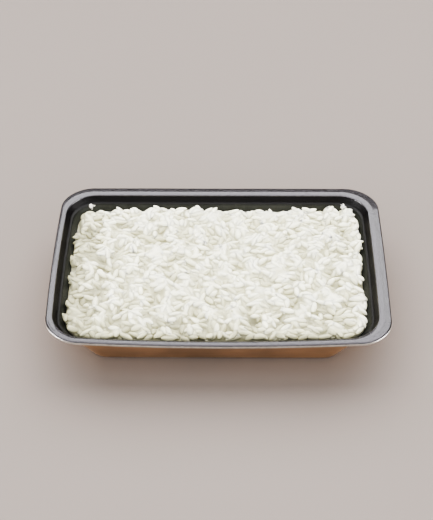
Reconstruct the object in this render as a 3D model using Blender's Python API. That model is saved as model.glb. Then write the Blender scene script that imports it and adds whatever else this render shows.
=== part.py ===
"""A smooth-walled foil takeaway tray, filled nearly to its rim with boiled white rice.

Metres, +Z up. The origin is under the middle of the tray, on the surface that it stands on.
The long sides face -Y, the front, and +Y, the back.
"""

import math

import bmesh
import bpy
import numpy as np
from mathutils.geometry import delaunay_2d_cdt

# The tray, over everything
TRAY_LENGTH = 0.1720
TRAY_DEPTH = 0.1235
TRAY_HEIGHT = 0.0320
FOIL = 0.0007

# The rim: a rolled bead, then a flange that falls gently towards the food.
# The sides of this tray aren't equal: left, right, front and back.
BEAD_RADIUS = 0.0015
RIM_WIDTHS = (0.0040, 0.0066, 0.0050, 0.0058)
SIDE_BULGES = (0.0013, 0.0007, 0.0032, 0.0)
FLANGE_FALL = 0.0012
FLANGE_ROUNDING = 1.7

# The step that the lid sits in, and the sloping wall under it
STEP_RUN = 0.00165
STEP_DROP = 0.0031
LEDGE_FALL = 0.0002
WALL_RUN = 0.0165
WALL_DRAFT = math.radians(28)
FOOT_FILLET = 0.0024
# How much further in the foot lies on each side, as the walls don't all lean alike
FOOT_SHIFTS = (0.0001, 0.0013, -0.0018, -0.0018)

# Corner radii in plan, at the bead, at the flange's inner edge and at the foot
BEAD_CORNER = 0.0165
FLANGE_CORNER = 0.0150
FOOT_CORNER = 0.0080

# The rice: a block that fills the tray, with a rounded shoulder and a lumpy top
CLEARANCE = 0.00035
RICE_TOP = TRAY_HEIGHT - 0.0044
RICE_WALL_TOP = TRAY_HEIGHT - 0.0078
SHOULDER = 0.0032
SHOULDER_WOBBLE = 0.0012
SHOULDER_WOBBLE_LENGTH = 0.007
LUMP_HEIGHT = 0.0005
LUMP_LENGTH = 0.018
LUMP_WAVES = 5

# A boiled grain, and the creases between one grain and the next
GRAIN_LENGTH = 0.0070
GRAIN_WIDTH = 0.0032
GRAIN_LENGTH_RANGE = (0.75, 1.1)
GRAIN_TURN_SPREAD = 0.9
GRAIN_RISE = 0.0012
GRAIN_RISE_RANGE = (0.5, 1.0)
GRAIN_TILT = 0.0006
CREASE_DIP = 0.0007
CREASE_DIP_RANGE = (0.3, 1.0)
CREASE_MERGE = 0.0005
EDGE_MARGIN = 0.0006
# How near one another the grains' middle lines may come, in rounds, and the tries a round has
GRAIN_GAPS = (0.0023, 0.0020, 0.0017)
GRAIN_TRIES = 2600
GRAIN_SAMPLES = 5

# How finely the rings are divided: steps in a corner's quarter turn, then along the
# short and the long sides
TRAY_STEPS = (9, 5, 7)
RICE_STEPS = (6, 26, 38)
BEND_POINTS = 4
TRAY_SMOOTH_UNDER = 40
RICE_SMOOTH_UNDER = 35
SEED = 11

FOIL_COLOUR = (0.16, 0.11, 0.07, 1.0)
RICE_COLOUR = (0.86, 0.85, 0.80, 1.0)


def clear_scene():
    """Removes whatever the file holds, and leaves an empty scene."""
    for old in list(bpy.data.objects):
        bpy.data.objects.remove(old, do_unlink=True)


def lacquer():
    """Lacquered aluminium foil: a metal that mirrors softly."""
    material = bpy.data.materials.new("lacquered_foil")
    material.use_nodes = True
    shader = material.node_tree.nodes["Principled BSDF"]
    shader.inputs["Base Color"].default_value = FOIL_COLOUR
    shader.inputs["Metallic"].default_value = 0.8
    shader.inputs["Roughness"].default_value = 0.35
    return material


def boiled_rice():
    """Boiled rice: nearly white, moist and a little see-through."""
    material = bpy.data.materials.new("boiled_rice")
    material.use_nodes = True
    shader = material.node_tree.nodes["Principled BSDF"]
    shader.inputs["Base Color"].default_value = RICE_COLOUR
    shader.inputs["Roughness"].default_value = 0.45
    shader.inputs["Subsurface Weight"].default_value = 0.3
    return material


def rounded_rectangle(half_length, half_depth, radius, steps):
    """Points of a rounded rectangle, anticlockwise from the right-hand side's upper end.

    steps is (corner, short side, long side). A corner holds both of its ends, and a side
    holds only the points between its corners.
    """
    in_corner, on_short, on_long = steps
    points = []
    signs = ((1, 1), (-1, 1), (-1, -1), (1, -1))
    for quarter, (sx, sy) in enumerate(signs):
        turns = quarter * math.pi / 2 + np.linspace(0, math.pi / 2, in_corner + 1)
        corner = np.column_stack(
            [
                sx * (half_length - radius) + radius * np.cos(turns),
                sy * (half_depth - radius) + radius * np.sin(turns),
            ]
        )
        points.append(corner)
        next_x, next_y = signs[(quarter + 1) % 4]
        last = corner[-1]
        if quarter % 2 == 0:
            between, after = on_long, np.array([next_x * (half_length - radius), last[1]])
        else:
            between, after = on_short, np.array([last[0], next_y * (half_depth - radius)])
        share = (np.arange(1, between) / between)[:, None]
        points.append(last * (1 - share) + after * share)
    return np.vstack(points)


def tray_ring(inset, rim_share, height, steps):
    """One closed line round the tray, as points.

    It lies inset inside the outer edge, plus rim_share of each side's own flange width.
    Towards the foot its corners tighten and the bulge of its sides dies away.
    """
    flanges = np.array(RIM_WIDTHS) - 2 * BEAD_RADIUS
    down_the_wall = min(max(inset - 2 * BEAD_RADIUS, 0) / WALL_RUN, 1)
    insets = inset + rim_share * flanges + down_the_wall * np.array(FOOT_SHIFTS)
    bulges = np.array(SIDE_BULGES)
    left, right, front, back = insets + bulges
    low = np.array([-TRAY_LENGTH / 2 + left, -TRAY_DEPTH / 2 + front])
    high = np.array([TRAY_LENGTH / 2 - right, TRAY_DEPTH / 2 - back])
    centre, half = (low + high) / 2, (high - low) / 2

    radius = (
        BEAD_CORNER * (1 - rim_share)
        + FLANGE_CORNER * rim_share
        - (FLANGE_CORNER - FOOT_CORNER) * down_the_wall
    )
    points = rounded_rectangle(half[0], half[1], radius, steps)

    bulges = bulges * (1 - down_the_wall)
    bow_x = np.where(points[:, 0] < 0, bulges[0], bulges[1])
    bow_y = np.where(points[:, 1] < 0, bulges[2], bulges[3])
    share = points / half
    points[:, 0] += bow_x * share[:, 0] * (1 - share[:, 1] ** 2)
    points[:, 1] += bow_y * share[:, 1] * (1 - share[:, 0] ** 2)
    return np.column_stack([points + centre, np.full(len(points), height)])


def wall_inset(height, offset):
    """How far inside the outer edge the outer wall is at a height, offset square to it."""
    foot = 2 * BEAD_RADIUS + WALL_RUN
    return foot - height * math.tan(WALL_DRAFT) + offset / math.cos(WALL_DRAFT)


def food_side():
    """The tray's upper skin as (inset, rim share, height), from its edge to its floor."""
    turns = np.linspace(math.pi, math.pi / 2, BEND_POINTS)
    bead = [
        (BEAD_RADIUS * (1 + math.cos(a)), 0, TRAY_HEIGHT - BEAD_RADIUS * (1 - math.sin(a)))
        for a in turns
    ]
    flange = [
        (BEAD_RADIUS * (1 + share), share, TRAY_HEIGHT - FLANGE_FALL * share**FLANGE_ROUNDING)
        for share in (1 / 3, 2 / 3, 1)
    ]
    step_top = TRAY_HEIGHT - FLANGE_FALL
    step = [
        (2 * BEAD_RADIUS + STEP_RUN * share, 1, step_top - STEP_DROP * share)
        for share in (1 / 2, 1)
    ]
    ledge_height = step_top - STEP_DROP - LEDGE_FALL
    ledge = [(wall_inset(ledge_height, FOIL), 1, ledge_height)]
    return bead + flange + step + ledge + foot_bend(FOOT_FILLET - FOIL, FOIL, BEND_POINTS)


def foot_bend(radius, offset, points):
    """The bend from the wall inwards to a floor that lies offset over the base, as stations."""
    stations = []
    floor = offset
    centre = wall_inset(floor + radius, offset + radius)
    for turn in np.linspace(WALL_DRAFT, math.pi / 2, points):
        inset = centre - radius * math.cos(turn)
        stations.append((inset, 1, floor + radius * (1 - math.sin(turn))))
    return stations


def outer_side():
    """The tray's lower skin as (inset, rim share, height), from its base to its edge."""
    base = foot_bend(FOOT_FILLET, 0, BEND_POINTS)[::-1]
    under_flange = TRAY_HEIGHT - FLANGE_FALL - FOIL
    collar = TRAY_HEIGHT - FLANGE_FALL - STEP_DROP - LEDGE_FALL - FOIL
    step = [
        (wall_inset(collar, 0), 1, collar),
        (2 * BEAD_RADIUS - FOIL / 2, 1, under_flange),
    ]
    turns = np.linspace(0, -math.pi, 6)[:-1]
    bead = [
        (BEAD_RADIUS * (1 + math.cos(a)), 0, TRAY_HEIGHT - BEAD_RADIUS * (1 - math.sin(a)))
        for a in turns
    ]
    return base + step + bead


def add_rings(mesh, rings):
    """Adds each ring's points and joins every ring to the next with quads."""
    made = [[mesh.verts.new(point) for point in ring] for ring in rings]
    for lower, upper in zip(made, made[1:]):
        for here in range(len(lower)):
            after = (here + 1) % len(lower)
            mesh.faces.new((lower[here], lower[after], upper[after], upper[here]))
    return made


def finish_object(name, mesh, material, smooth_under):
    """Turns a closed bmesh into a named object, faces outwards, edges sharp over an angle."""
    bmesh.ops.recalc_face_normals(mesh, faces=mesh.faces)
    data = bpy.data.meshes.new(name)
    mesh.to_mesh(data)
    mesh.free()
    data.materials.append(material)
    data.shade_smooth()
    data.set_sharp_from_angle(angle=math.radians(smooth_under))
    made = bpy.data.objects.new(name, data)
    bpy.context.scene.collection.objects.link(made)
    return made


def make_tray():
    """The foil tray: one profile carried round the rim, closed by its floor and its base."""
    stations = food_side()[::-1] + outer_side()[::-1]
    mesh = bmesh.new()
    rings = add_rings(mesh, [tray_ring(*station, TRAY_STEPS) for station in stations])
    mesh.faces.new(rings[0])
    mesh.faces.new(rings[-1])
    return finish_object("tray", mesh, lacquer(), TRAY_SMOOTH_UNDER)


def inside_distance(points, ring):
    """Distance from each point to the closed line ring, positive inside it."""
    ends = np.roll(ring, -1, axis=0)
    along = ends - ring
    apart = points[:, None, :] - ring[None, :, :]
    share = np.clip((apart * along).sum(2) / (along**2).sum(1), 0, 1)
    near = np.linalg.norm(apart - share[:, :, None] * along, axis=2).min(1)
    crosses = (ring[:, 1] > points[:, None, 1]) != (ends[:, 1] > points[:, None, 1])
    rise = np.where(along[:, 1] == 0, 1, along[:, 1])
    at = ring[:, 0] + (points[:, None, 1] - ring[:, 1]) / rise * along[:, 0]
    inside = (crosses & (points[:, None, 0] < at)).sum(1) % 2 == 1
    return np.where(inside, near, -near)


def lumps(points, length):
    """A smooth uneven surface from -1 to 1: plane waves of about one length, averaged.

    Each wave runs 2.4 radians round from the one before, is a little longer, and starts
    1.9 radians further along, so that no pattern repeats.
    """
    total = np.zeros(len(points))
    for wave in range(LUMP_WAVES):
        angle = 2.4 * wave + 0.5
        across = points[:, 0] * math.cos(angle) + points[:, 1] * math.sin(angle)
        total += np.sin(across * 2 * math.pi / (length * (0.7 + 0.23 * wave)) + 1.9 * wave)
    return total / LUMP_WAVES


def rice_surface(points, edge):
    """Height of the rice without its grains: a lumpy top with a rounded shoulder."""
    wobble = SHOULDER_WOBBLE * (1 + lumps(points, SHOULDER_WOBBLE_LENGTH)) / 2
    inside = np.maximum(inside_distance(points, edge) - wobble, 0)
    share = np.clip(inside / SHOULDER, 0, 1)
    rise = (RICE_TOP - RICE_WALL_TOP) * np.sqrt(1 - (1 - share) ** 2)
    return RICE_WALL_TOP + rise + LUMP_HEIGHT * lumps(points, LUMP_LENGTH) * share


def scatter_ridges(edge, random):
    """Middle lines of the grains that show, laid down one by one where there is still room."""
    half = (GRAIN_LENGTH - GRAIN_WIDTH) / 2
    share = np.linspace(0, 1, GRAIN_SAMPLES)[:, None]
    ridges, taken = [], np.empty((0, 2))
    for gap in GRAIN_GAPS:
        centres = random.uniform(edge.min(0), edge.max(0), (GRAIN_TRIES, 2))
        turns = random.normal(0, GRAIN_TURN_SPREAD, GRAIN_TRIES)
        sizes = half * random.uniform(*GRAIN_LENGTH_RANGE, GRAIN_TRIES)
        reaches = sizes[:, None] * np.column_stack([np.cos(turns), np.sin(turns)])
        clear = inside_distance(centres + reaches, edge) > EDGE_MARGIN
        clear &= inside_distance(centres - reaches, edge) > EDGE_MARGIN
        for centre, reach in zip(centres[clear], reaches[clear]):
            line = (centre - reach) * (1 - share) + (centre + reach) * share
            apart = np.linalg.norm(taken[:, None] - line[None], axis=2)
            if not len(taken) or apart.min() > gap:
                ridges.append((centre - reach, centre + reach))
                taken = np.vstack([taken, line])
    return np.array(ridges)


def circle_centres(a, b, c):
    """Centres of the circles through the points a, b and c, row by row."""
    ab, ac = b - a, c - a
    area = 2 * (ab[:, 0] * ac[:, 1] - ab[:, 1] * ac[:, 0])
    over = ac[:, 1] * (ab**2).sum(1) - ab[:, 1] * (ac**2).sum(1)
    up = ab[:, 0] * (ac**2).sum(1) - ac[:, 0] * (ab**2).sum(1)
    return a + np.column_stack([over, up]) / area[:, None]


def find_creases(ridges, edge):
    """The creases between grains, as points and the pairs of points that lines join.

    They lie halfway between the grains' middle lines. Each crease has the two places where
    it meets others, and one place between them.
    """
    share = np.linspace(0, 1, GRAIN_SAMPLES)[:, None]
    samples = (ridges[:, 0, None] * (1 - share) + ridges[:, 1, None] * share).reshape(-1, 2)
    triangles = np.array(delaunay_2d_cdt(samples.tolist(), [], [], 0, 1e-7)[2])
    owners = triangles // len(share)
    places = circle_centres(*(samples[triangles[:, corner]] for corner in range(3)))
    beyond = np.linalg.norm(places - samples[triangles[:, 0]], axis=1) > GRAIN_LENGTH

    beside = {}
    for number, (corners, grains) in enumerate(zip(triangles, owners)):
        for corner in range(3):
            after = (corner + 1) % 3
            if grains[corner] != grains[after]:
                pair = tuple(sorted((corners[corner], corners[after])))
                beside.setdefault(pair, []).append(number)
    next_to = [[] for _ in triangles]
    for pair in beside.values():
        if len(pair) == 2:
            next_to[pair[0]].append(pair[1])
            next_to[pair[1]].append(pair[0])

    runs = []
    meets = np.array([len(set(grains)) == 3 for grains in owners])
    for start in np.flatnonzero(meets & ~beyond):
        for step in next_to[start]:
            run = [start, step]
            while not meets[run[-1]] and len(next_to[run[-1]]) == 2:
                ahead = next_to[run[-1]]
                run.append(ahead[0] if ahead[1] == run[-2] else ahead[1])
            if meets[run[-1]] and not beyond[run].any() and run[0] < run[-1]:
                runs.append([places[run[0]], places[run].mean(0), places[run[-1]]])

    points, lines = [], []
    for run in runs:
        if inside_distance(np.array(run), edge).min() < EDGE_MARGIN:
            continue
        numbers = []
        for place in run:
            apart = np.linalg.norm(np.array(points) - place, axis=1) if points else [np.inf]
            if min(apart) > CREASE_MERGE:
                points.append(place)
                numbers.append(len(points) - 1)
            else:
                numbers.append(int(np.argmin(apart)))
        lines += [pair for pair in zip(numbers, numbers[1:]) if pair[0] != pair[1]]
    return np.array(points), lines


def make_rice():
    """The rice: one solid to the tray's wall, its top covered in bumps of a grain's size."""
    random = np.random.default_rng(SEED)
    side = foot_bend(FOOT_FILLET - FOIL, FOIL + CLEARANCE, 2)[::-1]
    side.append((wall_inset(RICE_WALL_TOP, FOIL + CLEARANCE), 1, RICE_WALL_TOP))
    mesh = bmesh.new()
    rings = add_rings(mesh, [tray_ring(*station, RICE_STEPS) for station in side])
    mesh.faces.new(rings[0])

    edge = np.array([vert.co[:2] for vert in rings[-1]])
    ridges = scatter_ridges(edge, random)
    creases, crease_lines = find_creases(ridges, edge)
    ends = ridges.reshape(-1, 2)
    rise = GRAIN_RISE * random.uniform(*GRAIN_RISE_RANGE, len(ridges))
    tilt = random.uniform(-GRAIN_TILT, GRAIN_TILT, len(ridges))
    ridge_heights = rice_surface(ends, edge) + np.column_stack([rise - tilt, rise + tilt]).ravel()
    dip = CREASE_DIP * random.uniform(*CREASE_DIP_RANGE, len(creases))
    crease_heights = rice_surface(creases, edge) - dip

    first_ridge = len(edge)
    first_crease = first_ridge + len(ends)
    flat = edge.tolist() + ends.tolist() + creases.tolist()
    lines = [(i, (i + 1) % first_ridge) for i in range(first_ridge)]
    lines += [(first_ridge + 2 * i, first_ridge + 2 * i + 1) for i in range(len(ridges))]
    lines += [(first_crease + a, first_crease + b) for a, b in crease_lines]
    heights = np.concatenate([ridge_heights, crease_heights])
    places, _, faces, sources, _, _ = delaunay_2d_cdt(flat, lines, [], 1, 1e-7)
    crossings = rice_surface(np.array([place[:] for place in places]), edge) - CREASE_DIP / 2
    lowest = RICE_WALL_TOP + CREASE_DIP / 2
    verts = []
    for place, source, crossing in zip(places, sources, crossings):
        if source and source[0] < first_ridge:
            verts.append(rings[-1][source[0]])
            continue
        height = heights[source[0] - first_ridge] if source else crossing
        verts.append(mesh.verts.new((place.x, place.y, max(height, lowest))))
    for face in faces:
        mesh.faces.new([verts[corner] for corner in face])
    return finish_object("rice", mesh, boiled_rice(), RICE_SMOOTH_UNDER)


def main():
    clear_scene()
    make_tray()
    make_rice()


main()
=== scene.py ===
"""The looks of a foil takeaway tray, filled nearly to its rim with boiled white rice.

The foil is one sheet: its cross-section is carried round the tray, over a rolled bead and back
underneath. The rice is a relief core with whole grains heaped on it, one by one, until the
heap reaches its height. Metres, +Z up, in the frame of the solids.
"""

import math

import bpy
import numpy as np
from bpy.props import FloatProperty, FloatVectorProperty, IntProperty, PointerProperty
from mathutils import Matrix, Vector


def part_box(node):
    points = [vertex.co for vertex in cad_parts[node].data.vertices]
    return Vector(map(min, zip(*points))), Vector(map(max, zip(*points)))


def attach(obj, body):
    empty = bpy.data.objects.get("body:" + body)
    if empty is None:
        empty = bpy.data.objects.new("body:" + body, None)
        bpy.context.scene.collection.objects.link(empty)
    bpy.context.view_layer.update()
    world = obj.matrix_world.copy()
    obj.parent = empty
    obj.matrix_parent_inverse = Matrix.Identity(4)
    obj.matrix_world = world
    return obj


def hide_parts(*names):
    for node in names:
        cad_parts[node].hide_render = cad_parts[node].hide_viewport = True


bl_info = {
    "name": "Foil Tray of Boiled Rice",
    "version": (1, 0, 0),
    "blender": (4, 5, 0),
    "location": "View3D > Sidebar > Rice Tray",
    "description": "Makes a lacquered foil tray, its boiled rice and a plain studio around them",
    "category": "Add Mesh",
}

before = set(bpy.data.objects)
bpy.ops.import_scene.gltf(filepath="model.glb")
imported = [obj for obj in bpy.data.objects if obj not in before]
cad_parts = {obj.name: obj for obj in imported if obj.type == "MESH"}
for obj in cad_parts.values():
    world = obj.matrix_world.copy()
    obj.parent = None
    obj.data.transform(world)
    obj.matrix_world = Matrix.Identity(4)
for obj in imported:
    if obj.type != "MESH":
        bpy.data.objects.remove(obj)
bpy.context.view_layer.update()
TRAY_LOW, TRAY_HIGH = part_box("tray")
RICE_LOW, RICE_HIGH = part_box("rice")

# The photograph's frame in pixels, and what a fit of the tray's rim to it gives: how far the
# camera is above the table and turned, its distance, and its focal length in pixels
PHOTO_WIDTH, PHOTO_HEIGHT = 433, 520
CAMERA_ELEVATION = math.radians(41)
CAMERA_YAW = math.radians(-0.77)
CAMERA_ROLL = math.radians(-0.33)
CAMERA_DISTANCE = 0.7365
CAMERA_AIM = (-0.0012, 0.0005, TRAY_HIGH.z)
FOCAL_PIXELS = 1433.8
SENSOR_WIDTH = 36.0

# Width of the flat ring on a floor or base before its fan of triangles begins
FLAT_RING = 0.012

# A grain's rings between its two ends, and the points round each
GRAIN_RINGS = 6
GRAIN_SIDES = 8

# The way to the right side card, which the black corners mirror. The left one is its mirror.
CARD_WAY = (0.97, -0.2, 0.09)


def linear(hex_colour):
    """An sRGB hex colour as the linear RGBA that shaders take.

    Each channel under 0.04045 is divided by 12.92, and any other is (c + 0.055) / 1.055 to
    the power 2.4.
    """
    digits = hex_colour.lstrip("#")
    channels = [int(digits[i : i + 2], 16) / 255 for i in (0, 2, 4)]
    light = [c / 12.92 if c <= 0.04045 else ((c + 0.055) / 1.055) ** 2.4 for c in channels]
    return (*light, 1.0)


def colour(name, description, hex_colour):
    return FloatVectorProperty(
        name=name,
        description=description,
        default=linear(hex_colour),
        size=4,
        subtype="COLOR",
        min=0,
        max=1,
    )


def length(name, description, default):
    return FloatProperty(
        name=name, description=description, default=default, min=0, unit="LENGTH", precision=5
    )


def lengths(name, description, defaults):
    return FloatVectorProperty(
        name=name,
        description=description,
        default=defaults,
        size=len(defaults),
        unit="LENGTH",
        precision=5,
    )


def angle(name, description, degrees):
    return FloatProperty(
        name=name, description=description, default=math.radians(degrees), subtype="ANGLE"
    )


def power(name, description, default):
    return FloatProperty(name=name, description=description, default=default, min=0, unit="POWER")


def number(name, description, default):
    return FloatProperty(name=name, description=description, default=default)


def count(name, description, default, most):
    return IntProperty(name=name, description=description, default=default, min=0, max=most)


class FoilTraySettings(bpy.types.PropertyGroup):
    """Sizes and colours of the foil tray."""

    bead_radius: length("Bead radius", "Radius of the rolled edge of the foil", 0.0015)
    rim_widths: lengths(
        "Rim widths",
        "Width of the bead and flange on the left, right, front and back",
        (0.0036, 0.0065, 0.0037, 0.0073),
    )
    bulges: lengths(
        "Bulges",
        "How far each side bows outwards: left, right, front and back",
        (0.0013, 0.0007, 0.0032, 0.0),
    )
    foot_shifts: lengths(
        "Foot shifts",
        "How much further in the foot lies: left, right, front and back",
        (0.0005, 0.0014, -0.0005, -0.0033),
    )
    droops: lengths(
        "Droops",
        "How much lower the outer edge lies: left, right, front and back",
        (0.0, 0.0010, 0.0, 0.0004),
    )
    sags: lengths(
        "Sags",
        "How far the rim sags halfway along: left, right, front and back",
        (0.0, 0.0, 0.0003, 0.0),
    )
    flange_fall: length("Flange fall", "How far the flange falls towards the food", 0.0012)
    step_run: length("Step run", "Width of the step that a lid sits in", 0.00165)
    step_drop: length("Step drop", "Depth of the step that a lid sits in", 0.0031)
    ledge_fall: length("Ledge fall", "Slope of the narrow ledge under the step", 0.0002)
    wall_run: length("Wall run", "How far in from the rim the foot lies", 0.0165)
    wall_draft: angle("Wall draft", "How far the walls lean out from upright", 28)
    foot_fillet: length("Foot fillet", "Radius of the bend at the base", 0.0024)
    bead_corner: length("Bead corner", "Corner radius at the outer edge", 0.0165)
    flange_corner: length("Flange corner", "Corner radius at the flange's inner edge", 0.0150)
    foot_corner: length("Foot corner", "Corner radius at the foot", 0.0080)
    wall: length("Wall", "Thickness that the foil is drawn with", 0.0007)
    crown: length("Crown", "How far inside the outer edge a narrow rim is highest", 0.00115)
    curl: length("Curl radius", "Radius of the curled outer edge", 0.00135)
    curl_drop: length("Curl drop", "Depth of the curl's middle under the crown", 0.00168)
    curl_wall: length("Curl wall", "Thickness of the foil in the curl", 0.0004)
    # Painted highlight: a pale bare-metal spot at each back corner of the wall, where a highlight
    # shows
    highlight_spots: lengths(
        "Scuffs",
        "Where the lacquer is rubbed off: how far in from the left, the right and the back",
        (0.0165, 0.0190, 0.0108),
    )
    highlight_drop: length("Scuff drop", "How far under the step a scuff's middle is", 0.0013)
    highlight_size: length("Scuff size", "Radius of a spot where the lacquer is rubbed off", 0.0015)
    dent: length("Dent depth", "Depth of the shallow dents of handled foil", 0.00012)
    dent_length: length("Dent length", "Distance from one dent to the next", 0.031)
    lacquer: colour("Lacquer", "Black lacquer on the food side and over the rim", "#121011")
    # Painted reflection: the greenish grey that the wall below the step is given for the rice's
    # light it reflects
    painted_wall_reflection: colour("Thin lacquer", "The same lacquer where the wall is drawn thin", "#3C3D38")
    bare: colour("Bare foil", "Bare aluminium at the curled edge", "#E2DED8")
    outside: colour("Outside", "Gold-brown lacquered foil of the outside", "#EFCAA6")


class RiceSettings(bpy.types.PropertyGroup):
    """Sizes and colours of the boiled rice."""

    grain_length: length("Grain length", "Length of a boiled grain", 0.0081)
    grain_width: length("Grain width", "Width of a boiled grain", 0.0032)
    grain_thickness: length("Grain thickness", "Thickness of a boiled grain", 0.0027)
    top: length("Top", "Height of the rice over the table", 0.0279)
    wall_top: length("Wall top", "Height where the rice meets the wall", 0.0242)
    clearance: length("Clearance", "Gap between the core and the foil", 0.00035)
    shoulder: length("Shoulder", "How far in the rice rounds off to its edge", 0.0028)
    reaches: lengths(
        "Reaches",
        "How far the heap stands out past the core: left, right, front and back",
        (0.0056, 0.0084, 0.0045, 0.0034),
    )
    lump: length("Lump height", "Unevenness of the rice's top", 0.0020)
    lump_length: length("Lump length", "Distance from one lump to the next", 0.017)
    hollow: length("Hollow depth", "Depth of the small hollows between clumps", 0.0022)
    hollow_length: length("Hollow length", "Distance from one hollow to the next", 0.0085)
    scallop: length("Scallop", "Unevenness of the rice's outline", 0.0105)
    scallop_length: length("Scallop length", "Distance between the outline's lobes", 0.011)
    corner_gap: length("Corner gap", "How far the heap stays off the back left corner", 0.0040)
    # Painted shade: how much darker the grains are painted near each edge of the heap
    edge_shades: FloatVectorProperty(
        name="Wet edges",
        description="How much darker the edge's grains are: left, right, front and back",
        default=(1.7, 0.5, 1.1, 0.0),
        size=4,
    )
    edge_shade_width: length("Wet width", "How far in from the edge that reaches", 0.008)
    skin: length("Skin", "Depth of the layer that is made of whole grains", 0.0014)
    sunk: number("Sunk", "Share of a grain that is pressed into its bed", 0.42)
    merged: number("Merged", "How much that share grows where grains stick together", 0.3)
    crevice: length("Crevice", "Usual depth of the starch between grains", 0.0006)
    bed_grains: count("Bed grains", "Grains under the layer, which shape the starch", 1500, 3000)
    tips: count("Tips", "Grains that stick out of the heap's edge", 150, 300)
    grains: count("Grains", "Most grains in the layer", 1700, 1750)
    seed: count("Seed", "Start of the random draws", 7, 1000)
    grain: colour("Grain", "Body of a boiled grain", "#E2E0CD")
    # Painted shade: the darker, yellower colour of sunken grains and hollows
    shade: colour("Shade", "Sunken, wetter grains", "#C2BFA4")
    # Painted shade: the darkest colour, which the grains near the heap's edge are painted with
    edge_shade: colour("Wet", "Grains at the heap's edge, where the water gathers", "#8E8B72")


class StudioSettings(bpy.types.PropertyGroup):
    """Floor, lights and camera."""

    floor: colour("Floor", "The plain pale floor", "#7E7671")
    floor_size: length("Floor size", "Side of the square floor", 6.0)
    distance: length("Panel distance", "From the tray to the panel and the fill", 4.0)
    panel_size: lengths(
        "Panel size", "Width and height of the soft panel over and behind the tray", (7.4, 5.7)
    )
    panel_elevation: angle("Panel elevation", "How high the panel's middle stands", 62.5)
    panel_strength: power("Panel light", "Power of the soft panel over and behind the tray", 740)
    fill_size: lengths(
        "Fill size", "Width and height of the weaker panel over the camera", (9.0, 4.2)
    )
    fill_elevation: angle("Fill elevation", "How high the weaker panel's middle stands", 46)
    fill_strength: power("Fill light", "Power of the weaker panel over the camera", 330)
    card_size: lengths("Card size", "Width and height of the low card on each side", (0.9, 0.45))
    card_distance: length("Card distance", "From the tray to each low card", 1.5)
    card_strength: power("Side cards", "Power of each low card beside the tray", 28)
    exposure: number("Exposure", "Exposure of the picture, in stops", -0.35)
    sky: number("Sky", "Strength of the even light from above", 1.0)
    horizon: number("Horizon", "Strength of the even light from the level", 0.08)


def set_inputs(tree, target, inputs):
    """Sets a node's inputs, by name or number, to plain values, or links them to sockets."""
    for socket, value in inputs.items():
        if isinstance(value, bpy.types.NodeSocket):
            tree.links.new(value, target.inputs[socket])
        else:
            target.inputs[socket].default_value = value


def node(tree, kind, inputs=None, **settings):
    """Adds a node of a kind with its inputs and its properties."""
    made = tree.nodes.new(kind)
    for name, value in settings.items():
        setattr(made, name, value)
    set_inputs(tree, made, inputs or {})
    return made


def noise(tree, place, size, detail=3.0):
    """A noise field over places, from 0 to 1, whose spots are about a size across."""
    inputs = {"Vector": place, "Scale": 1 / size, "Detail": detail}
    return node(tree, "ShaderNodeTexNoise", inputs).outputs["Fac"]


def bump(tree, height, strength, distance):
    """The normals of a skin that a height field lifts by up to a distance."""
    inputs = {"Height": height, "Strength": strength, "Distance": distance}
    return node(tree, "ShaderNodeBump", inputs).outputs["Normal"]


def mapped(tree, value, start, end, first=0.0, last=1.0):
    """A value brought from the range of start to end into first to last, and clamped to it."""
    inputs = {"Value": value, "From Min": start, "From Max": end, "To Min": first, "To Max": last}
    return node(tree, "ShaderNodeMapRange", inputs).outputs["Result"]


def worked_out(tree, operation, *values):
    """What a mathematical operation makes of its values."""
    return node(tree, "ShaderNodeMath", dict(enumerate(values)), operation=operation).outputs[0]


def blended(tree, share, under, over):
    """The colour that goes from one to another with a share."""
    inputs = {0: share, 6: under, 7: over}
    return node(tree, "ShaderNodeMix", inputs, data_type="RGBA").outputs[2]


def start_material(name):
    """A new material with its tree, its Principled shader and its Object coordinates."""
    material = bpy.data.materials.new(name)
    material.use_nodes = True
    tree = material.node_tree
    shader = tree.nodes["Principled BSDF"]
    place = node(tree, "ShaderNodeTexCoord").outputs["Object"]
    return material, tree, shader, place


def ramp(tree, fac, stops):
    """A colour ramp over fac with (position, linear colour) stops."""
    made = node(tree, "ShaderNodeValToRGB", {"Fac": fac})
    elements = made.color_ramp.elements
    while len(elements) < len(stops):
        elements.new(0.5)
    for element, (position, value) in zip(elements, stops):
        element.position = position
        element.color = tuple(value)
    return made.outputs["Color"]


def dimmed(value, factor):
    """A linear colour's channels times a factor, opaque."""
    return tuple(factor * channel for channel in value[:3]) + (1.0,)


def orange_peel(tree, place, strength):
    """Normals of stoved lacquer: soft cells 0.25 mm wide, drawn at 0.9 mm so that they show."""
    return bump(tree, noise(tree, place, 0.0009), strength, 0.0004)


def rim_lacquer(settings):
    """Black stoved lacquer on the rim, with clear varnish over it.

    The coat is smooth with a fine orange peel, so the rim mirrors the light behind it as a
    pale band whose edges are ragged.
    """
    material, tree, shader, place = start_material("black_rim_lacquer")
    wear = noise(tree, place, 0.004)
    worn = dimmed(settings.lacquer, 1.6)
    set_inputs(
        tree,
        shader,
        {
            "Base Color": ramp(tree, wear, [(0.35, settings.lacquer), (0.75, worn)]),
            "Normal": orange_peel(tree, place, 1.0),
            "Roughness": 0.13,
            "IOR": 1.55,
            "Specular Tint": linear("#F9F2FF"),
            "Coat Weight": 0.8,
            "Coat Roughness": 0.09,
            "Coat IOR": 1.5,
        },
    )
    return material


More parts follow.
